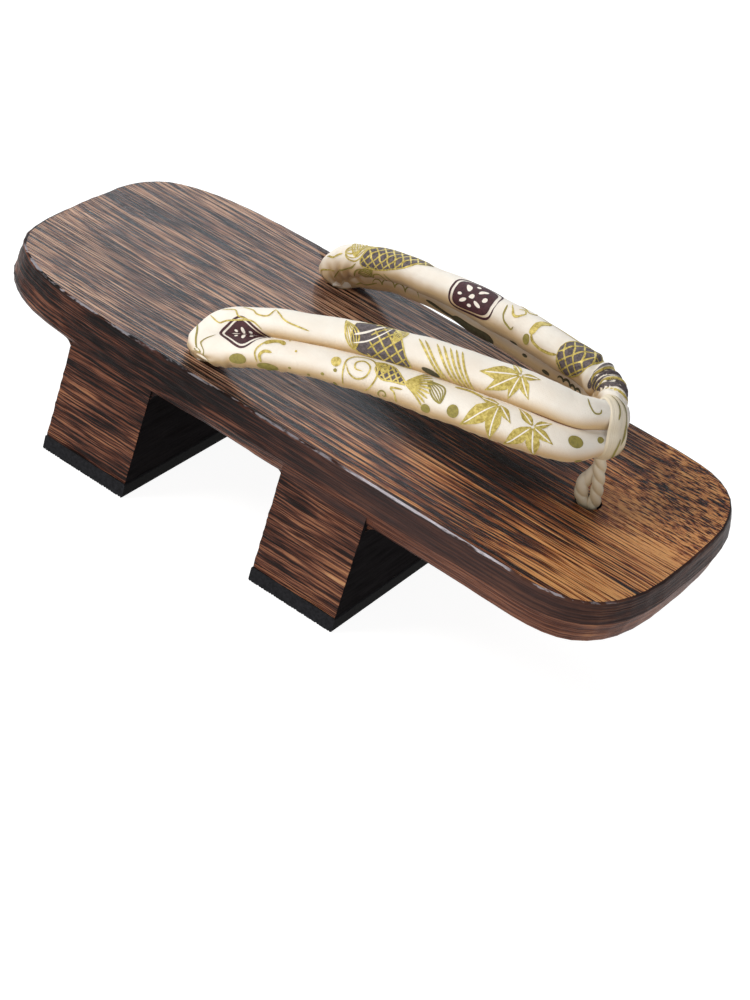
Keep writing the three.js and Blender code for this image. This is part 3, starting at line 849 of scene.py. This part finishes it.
# Print on the near leg's outer side: motif, run, girth, turn
NEAR_PRINT = [
    (stroke([(-151.6, 3.2), (-150.8, -3), (-151.1, -11.6)], 0.5, "olive"), 0, 0, 0),
    (stroke([(-148.6, 7.2), (-145.1, 4), (-141.6, 5.6), (-133.1, 6.8), (-128.6, 4)]), 0, 0, 0),
    (stroke([(-145.6, 10.4), (-140.6, 10.8), (-138.1, 8), (-134.1, 7.2)]), 0, 0, 0),
    (stroke([(-138.6, 13.6), (-133.6, 11.6), (-131.1, 9.6), (-127.1, 9.6), (-125.6, 13.2)]), 0, 0, 0),
    (stroke([(-125.6, 13.2), (-123.5, 11), (-120.1, 8.4), (-111.6, 6.4)]), 0, 0, 0),
    (stroke([(-145.1, -2.8), (-149.3, -7), (-148.6, -11), (-149.4, -14), (-147.3, -16)], 0.5, "olive"),
     0, 0, 0),
    (curl(1.6, 1.0, 0.5), -151.5, -12.5, 90),
    (crest(8.4, 7.0), -135.3, -0.8, -38),
    (stroke([(-127.6, -14.8), (-128.3, -10.8), (-126.4, -7.4), (-123.8, -5)]), 0, 0, 0),
    (stroke([(-126, -7.2), (-123.4, -5.4), (-120.6, -5), (-118.8, -6.4)], 2.0), 0, 0, 0),
    (stroke([(-126, -14.6), (-126.6, -12), (-125, -10.2), (-122.4, -10.2)], 1.1), 0, 0, 0),
    (dot(2.3, length=3.4), -135.1, -14.0, 0),
    (dot(2.0, length=4.0), -124.1, -16.6, 0),
    (dot(0.5, "gold"), -118.1, -3.2, 0),
    (dot(0.5, "gold"), -114.1, -8.0, 0),
    (dot(0.6), -115.6, -14.8, 0),
    (dot(0.7), -108.6, -16.4, 0),
    (dot(0.7), -103.1, -14.0, 0),
    (dot(0.8), -98.6, -17.4, 0),
    (dot(0.7), -98.6, -11.4, 0),
    (dot(1.8, "gold"), -99.1, -8.4, 0),
    (stroke([(-95.1, -16.8), (-95.8, -11), (-95.6, -6.6), (-92.5, -3.8), (-88, -3.8), (-84.8, -6.2),
             (-83.6, -9.4), (-84.8, -13), (-87.6, -16.8)]), 0, 0, 0),
    (stroke([(-95.4, -8.2), (-93.6, -11), (-90.6, -12.2), (-87.4, -10.6), (-86.8, -7.4), (-89.6, -5.6),
             (-92.2, -6.8), (-91.8, -9), (-89, -9.2)]), 0, 0, 0),
    (scaled([(-97, 13.5), (-90, 15.6), (-83, 14.6), (-79.6, 10), (-77, 6), (-74.4, 1.8), (-80, 1.2),
             (-88, 1.4), (-94, 2.8), (-97, 8)], 4.6, 0.3), 0, 0, 0),
    (stroke([(-96, 8.4), (-91.5, 10.4), (-87, 14.6)], 0.8, "cream"), 0, 0, 0),
    (stroke([(-95.6, 5.6), (-90.6, 7.4), (-86.4, 11), (-84.6, 14.6)], 0.5, "cream"), 0, 0, 0),
    (fin(12.5, 3.4), -101.0, 14.0, -62),
    (fin(7.0, 3.0), -82.4, 8.6, 62),
    (scaled([(-85, -4.4), (-80, -4), (-75, -7.2), (-72.6, -9.2), (-77, -9.6), (-82, -9.8),
             (-85, -7.4)], 2.8), 0, 0, 0),
    (fin(6.0, 2.4), -86.0, -4.6, -25),
    (fan(10, 10.0, 70, 0.7), -73.6, -9.0, 12),
    (fin(9.5, 3.4, "olive"), -66.5, -5.2, -38),
    (curl(2.2, 1.1, 0.6), -80.0, -15.0, 200),
    (stroke([(-73, -11), (-77.6, -11.6), (-75.6, -13), (-74.6, -16.6)]), 0, 0, 0),
    (waves([0, 2.2, 6.4, 8.8, 11.2, 13.4, 15.6]), -74.8, 6.2, 0),
    (dot(1.2, "moss", 3.6), -67.0, 2.6, -12),
    (dot(1.7), -63.6, -14.4, 0),
    (dot(2.1), -54.1, -12.0, 0),
    (stroke([(-57, -4), (-52, -3.4), (-46, -4.4)], 1.2), 0, 0, 0),
    (leaf([(-167, 13.9), (-140, 13), (-100, 8.8), (-50, 8.2), (11, 6.6), (133, 7.2)]), -37.6, 11.4, 0),
    (leaf([(178, 7.6), (-134, 15.4), (-88, 13), (-39, 7.4)]), -40.4, -4.8, 0),
    (leaf([(143, 8.4), (-126, 12.4), (-71, 11), (-20, 7.6), (39, 6.6)]), -28.1, -7.6, 0),
    (dot(2.1), -15.6, -6.8, 0),
    (dot(1.4), -6.8, -5.2, 0),
    (dot(1.2), -13.1, -14.8, 0),
    (stroke([(-13.2, 15), (-13, 12), (-11.4, 9.6), (-9.2, 9.8), (-8.8, 11.4)], 0.6, "olive"), 0, 0, 0),
    (stroke([(-31, 0.9), (-21, 1.2), (-12, 0.4), (-3.5, 0.2)], 0.5, "rust"), 0, 0, 0),
]

# Print on the far leg's inner side, seen from above
FAR_PRINT = [
    (scaled([(104, 13), (112, 17.6), (121, 21.4), (128, 22.6), (134, 21), (132, 14), (127, 9),
             (115, 9)], 3.8), 0, 0, 0),
    (fin(12.0, 5.0), 131.0, 13.0, 20),
    (fin(11.0, 4.0), 142.0, 9.0, 120),
    (fin(9.0, 3.2, "olive"), 128.0, 22.0, 25),
    (stroke([(151, 15), (147, 18), (143, 17.6)], 0.6), 0, 0, 0),
    (stroke([(155, 17), (151.6, 21.6), (147, 24)], 0.6), 0, 0, 0),
    (stroke([(150, 27), (144, 24.6), (139, 23.4), (136, 21)], 0.7, "olive"), 0, 0, 0),
    (stroke([(139, 27.6), (136.4, 24), (133, 23.4), (130.6, 26), (133, 28)], 0.6, "olive"), 0, 0, 0),
    (stroke([(131, 28.6), (128.4, 25), (125, 24.6), (123.4, 27.4), (126, 29)], 0.6, "olive"), 0, 0, 0),
    (stroke([(123, 23.4), (120.4, 26.6), (121.4, 29.6)], 0.6, "olive"), 0, 0, 0),
    (scallops([2.6, 3.4, 2.8, 3.6], 0.6, "olive"), 124.0, -29.6, 178),
    (stroke([(146, -31), (140, -29.6), (134, -30.6)], 0.6, "olive"), 0, 0, 0),
    (crest(10.6, 6.4), 80.4, 18.4, 186),
    (stroke([(108, -29.4), (98, -28.4), (90, -28)], 1.6, "moss"), 0, 0, 0),
    (stroke([(94, -28), (86, -27.4), (73.4, -27.6)], 4.6, "moss"), 0, 0, 0),
    (stroke([(67.2, 15.6), (65.3, 19.2), (62.9, 21), (60.4, 21.8), (59.6, 20.4)], 0.7, "olive"), 0, 0, 0),
    (stroke([(66, 14.4), (63, 17.2), (60.4, 17.4), (58.8, 15.6), (60.6, 14), (62.4, 15)], 0.6), 0, 0, 0),
    (stroke([(64, 12.2), (61, 13), (58.6, 14), (56.6, 12.6), (57.6, 11)], 0.6), 0, 0, 0),
    (dot(1.9, length=1.5), 52.9, 21.6, 0),
    (stroke([(48.8, 13), (51, 14.8), (52, 17.2), (51.6, 19.4)], 2.6), 0, 0, 0),
    (stroke([(51.9, 18.6), (50.4, 20.8), (47.5, 21.8), (43.4, 22), (38.9, 21)], 1.0), 0, 0, 0),
    (stroke([(56, 11.6), (46, 12.2), (36, 12.6)], 0.5), 0, 0, 0),
    (scaled([(39.4, 18), (37, 13.4), (33, 11), (27, 10), (24.6, 15), (25.6, 21), (29, 24.6),
             (34, 26.4), (38, 23)], 4.4), 0, 0, 0),
    (scallops([1.4, 1.8, 1.4, 1.6], 0.9, "moss"), 36.0, -29.0, 180),
    (dot(1.0, "moss", 2.2), 59.4, 27.0, 20),
    (dot(0.9, "moss", 1.8), 47.9, -28.4, 0),
    (dot(0.6, "moss", 1.2), 58.0, -30.0, 0),
]
for step in range(6):
    foot, head = 19.5 - 1.5 * step, 24.0 - 3.4 * step
    waist = (foot + head) / 2
    FAR_PRINT.append((stroke([(foot, 25.6), (waist, 17), (head, 8)], 1.7, "grey"), 0, 0, 0))
    FAR_PRINT.append((stroke([(foot - 0.9, 25), (waist - 1.6, 17), (head - 1.8, 8)], 0.6), 0, 0, 0))

# Print on the sleeve of the toe cord
SLEEVE_PRINT = [
    (stroke([(-2.4, 17), (-1.6, 11), (-2.6, 5)], 0.6, "olive"), 0, 0, 0),
    (stroke([(0.2, 16), (0.9, 8), (0.2, 0), (-1.0, -6)], 0.7, "olive"), 0, 0, 0),
    (stroke([(1.6, 12), (1.9, 4), (1.4, -4)], 0.5, "olive"), 0, 0, 0),
    (stroke([(-1.4, -3), (-2.2, -8), (-1.8, -13)], 0.6, "olive"), 0, 0, 0),
    (stroke([(0.6, -8), (0.2, -12), (-0.8, -16)], 0.6, "olive"), 0, 0, 0),
]


# Spacing of the points along a line, between the lanes of a ribbon and inside a fill, in millimetres
LINE_STEP, LANE_WIDTH, FILL_STEP = 0.5, 0.7, 0.8


def resampled(points):
    length = np.concatenate([[0], np.cumsum(np.linalg.norm(np.diff(points, axis=0), axis=1))])
    at = np.linspace(0, length[-1], max(3, int(length[-1] / LINE_STEP) + 1))
    return np.stack([np.interp(at, length, points[:, c]) for c in (0, 1)], 1)


def ribbon(points, width):
    """Flat stroke along a line, with tapered ends."""
    line = resampled(points)
    forward = units(np.gradient(line, axis=0))
    left = np.stack([-forward[:, 1], forward[:, 0]], 1)
    t = np.linspace(-1, 1, len(line))
    half = (width / 2 * (1 - 0.8 * np.abs(t) ** 8))[:, None]
    lanes, count = 2 + int(width / LANE_WIDTH), len(line)
    flat = np.concatenate([line + left * half * share for share in np.linspace(-1, 1, lanes)])
    faces = []
    for lane in range(lanes - 1):
        for i in range(lane * count, lane * count + count - 1):
            faces.append((i, i + 1, count + i + 1, count + i))
    return flat, faces


def patch(points):
    """Flat area inside an outline."""
    rim = resampled(np.concatenate([points, points[:1]]))[:-1]
    low, high = rim.min(0), rim.max(0)
    xs, ys = (np.arange(low[i], high[i], FILL_STEP) for i in (0, 1))
    inner = [(x, y) for x in xs for y in ys]
    edges = [(i, (i + 1) % len(rim)) for i in range(len(rim))]
    verts = [Vector(p) for p in rim.tolist() + inner]
    made = delaunay_2d_cdt(verts, edges, [], 1, 1e-5)
    return np.array([tuple(v) for v in made[0]]), [tuple(f) for f in made[2]]


# Height of each ink over the cloth, so that lines lie on top of fills
INK_LIFT = {
    "grey": 0.10, "moss": 0.10, "maroon": 0.10, "olive": 0.13,
    "gold": 0.15, "rust": 0.15, "cream": 0.17,
}


def ink_parts(table, surface):
    """Points and faces of each ink of a print laid on a surface."""
    parts = {}
    for motif, run, girth, turn in table:
        ca, sa = math.cos(math.radians(turn)), math.sin(math.radians(turn))
        for kind, ink, points, *width in motif:
            flat, faces = ribbon(points, *width) if kind == "line" else patch(points)
            at_run = run + flat[:, 0] * ca - flat[:, 1] * sa
            at_girth = girth + flat[:, 0] * sa + flat[:, 1] * ca
            used = sorted({i for face in faces for i in face})
            renumber = {old: new for new, old in enumerate(used)}
            laid = surface(at_run[used], at_girth[used], INK_LIFT[ink])
            parts.setdefault(ink, []).append((laid, [tuple(renumber[i] for i in f) for f in faces]))
    return parts


def on_strap(run, girth, lift):
    return strap_surface(run, girth, fold_height(run, girth) + lift)


# Mirrored copies of the print dress the sides of the strap that the photograph hides
FAR_BACK = {"shift": -3.0, "low": -24, "high": 9}
NEAR_BACK = {"shift": 9.0, "low": 17.5, "high": 36}


def mirrored(table, shift, low, high):
    """Motifs on the other leg, moved across by a shift, where they lie between two girths."""
    made = []
    for motif, run, girth, turn in table:
        ca, sa = math.cos(math.radians(turn)), math.sin(math.radians(turn))
        shapes = []
        for kind, ink, points, *width in motif:
            at_run = -(run + points[:, 0] * ca - points[:, 1] * sa)
            at_girth = girth + points[:, 0] * sa + points[:, 1] * ca + shift
            shapes.append((kind, ink, np.stack([at_run, at_girth], 1), *width))
        reach = np.concatenate([shape[2][:, 1] for shape in shapes])
        if reach.min() > low and reach.max() < high:
            made.append((shapes, 0, 0, 0))
    return made


def make_print(inks):
    hidden = mirrored(NEAR_PRINT, **FAR_BACK) + mirrored(FAR_PRINT, **NEAR_BACK)
    for ink, parts in ink_parts(NEAR_PRINT + FAR_PRINT + hidden, on_strap).items():
        points, faces = joined(parts)
        settle(new_object("print_" + ink, points, faces, inks[ink]), "printed_cotton")


# Toe cord: sleeve round the bend, two plied strands and a knot
def sleeve_swell(run):
    rows = np.array(SLEEVE)
    middle, half, height = -1.1, 3.8, 0.18
    pleats = height * np.sin(2.4 * run + 0.6) * np.clip(1 - ((run - middle) / half) ** 2, 0, 1)
    return np.interp(run, rows[:, 0], rows[:, 1]) + pleats


def on_sleeve(run, girth, lift):
    return strap_surface(run, girth, lift, sleeve_swell(run), grooved=0.25)


def strand_part(rows, start_turn, relief):
    steps, sides, plies, pitch = 160, 40, 2, 9.5
    table = smooth_rows(rows, np.linspace(0, len(rows) - 1, steps))
    path = table[:, :3]
    forward = units(np.gradient(path, axis=0))
    side = units(np.cross(forward, (0, 1, 0)))
    up = np.cross(side, forward)
    run = np.concatenate([[0], np.cumsum(np.linalg.norm(np.diff(path, axis=0), axis=1))])
    turn = np.linspace(0, 2 * math.pi, sides, endpoint=False)[None, :]
    lay = turn - 2 * math.pi * run[:, None] / pitch + start_turn
    ply = 1 - relief + relief * np.abs(np.sin(plies * lay / 2)) ** 0.6
    radius = (table[:, 3:4] * ply)[..., None]
    around = np.cos(turn)[..., None] * side[:, None] + np.sin(turn)[..., None] * up[:, None]
    rings = path[:, None] + radius * around
    return rings, [f[::-1] for f in tube_faces(steps, sides)]


def make_toe_cord(material, inks):
    count, rings = 96, 48
    runs = np.linspace(SLEEVE[0][0], SLEEVE[-1][0], rings)
    grid_run, grid_girth = np.meshgrid(runs, girths(count), indexing="ij")
    sleeve = on_sleeve(grid_run, grid_girth, np.zeros(grid_run.shape))
    faces = [f[::-1] for f in tube_faces(len(runs), count)]
    strands = [strand_part(FRONT_STRAND, start_turn=0.4, relief=0.28),
               strand_part(BACK_STRAND, start_turn=1.9, relief=0.22)]
    points, faces = joined([(sleeve, faces), *strands, knot_part(TOE_HOLE)])
    uvs = np.zeros((len(points), 2))
    uvs[:grid_run.size] = np.stack([grid_run, grid_girth], -1).reshape(-1, 2) * MM
    settle(new_object("toe_cord_cloth", points, faces, material, uvs=uvs), "cream_cotton", "toe_cord")
    for ink, parts in ink_parts(SLEEVE_PRINT, on_sleeve).items():
        points, faces = joined(parts)
        settle(new_object("sleeve_print_" + ink, points, faces, inks[ink]), "cream_cotton")


# Soft lights: place in metres, size, power and colour
LIGHTS = {
    "key": ((-0.9, -0.9, 1.3), (0.7, 0.7), 20, (1.0, 0.98, 0.95)),
    "back": ((-1.0, 1.1, 0.85), (1.0, 0.5), 11, (0.84, 0.92, 1.0)),
    "front": ((0.4, -1.6, 0.6), (1.6, 1.0), 5, (1.0, 0.98, 0.96)),
}
LIGHT_AIM = (0, 0, 0.05)
FLOOR_REACH = 6000.0
FLOOR_GLOW = 0.92
WORLD_GLOW = 0.26


# White studio floor
def make_floor():
    k = Nodes("white_floor")
    k.surface(base_color=(0.3, 0.3, 0.3, 1), roughness=0.9, specular_ior_level=0.05)
    k.surface(emission_color=(1, 1, 1, 1), emission_strength=FLOOR_GLOW)
    corners = [(x * FLOOR_REACH, y * FLOOR_REACH, 0) for x, y in ((-1, -1), (1, -1), (1, 1), (-1, 1))]
    new_object("floor", corners, [(0, 1, 2, 3)], k.material, smooth=False)


# Even white surroundings with lights, shown without a film curve
def make_stage():
    make_floor()
    world = bpy.data.worlds.new("studio")
    world.use_nodes = True
    world.node_tree.nodes["Background"].inputs["Color"].default_value = (1, 1, 1, 1)
    world.node_tree.nodes["Background"].inputs["Strength"].default_value = WORLD_GLOW
    bpy.context.scene.world = world
    for name, values in LIGHTS.items():
        make_light(name, *values)
    bpy.context.scene.view_settings.view_transform = "Standard"
    bpy.context.scene.view_settings.look = "None"


def make_light(name, where, size, power, colour):
    data = bpy.data.lights.new(name, "AREA")
    data.shape = "RECTANGLE"
    data.size, data.size_y = size
    data.energy = power
    data.color = colour
    light = bpy.data.objects.new(name, data)
    bpy.context.scene.collection.objects.link(light)
    light.location = where
    aim = Vector(LIGHT_AIM) - Vector(where)
    light.rotation_mode = "QUATERNION"
    light.rotation_quaternion = aim.to_track_quat("-Z", "Y")


# Cotton colours: two colours of the mottle, then the painted shade on downward faces
COTTON = cotton_material("printed_cotton", "#fdf7ec", "#f8eee0", "#d0af7c")
CREAM = cotton_material("cream_cotton", "#f0e5d0", "#e4d7bc", "#cfba92")
RUBBER = rubber_material()
INKS = {
    "gold": ink_material("gold_ink", "#dcc972", "#a8923c", 0.2, 0.5),
    "olive": ink_material("olive_ink", "#a3964a", "#8b8040"),
    "grey": ink_material("grey_ink", "#6e6364", "#4d4446"),
    "moss": ink_material("moss_ink", "#575238", "#45402c"),
    "maroon": ink_material("maroon_ink", "#4d252b", "#3a1b21"),
    "rust": ink_material("rust_ink", "#a8714d", "#8e5a3c"),
    "cream": ink_material("cream_ink", "#fcf5ea", "#f6ecde"),
}

make_camera()
make_deck()
for tread, sizes in TREADS.items():
    make_tread(tread, material=RUBBER, **sizes)
make_strap(COTTON)
make_print(INKS)
make_toe_cord(CREAM, INKS)
make_stage()
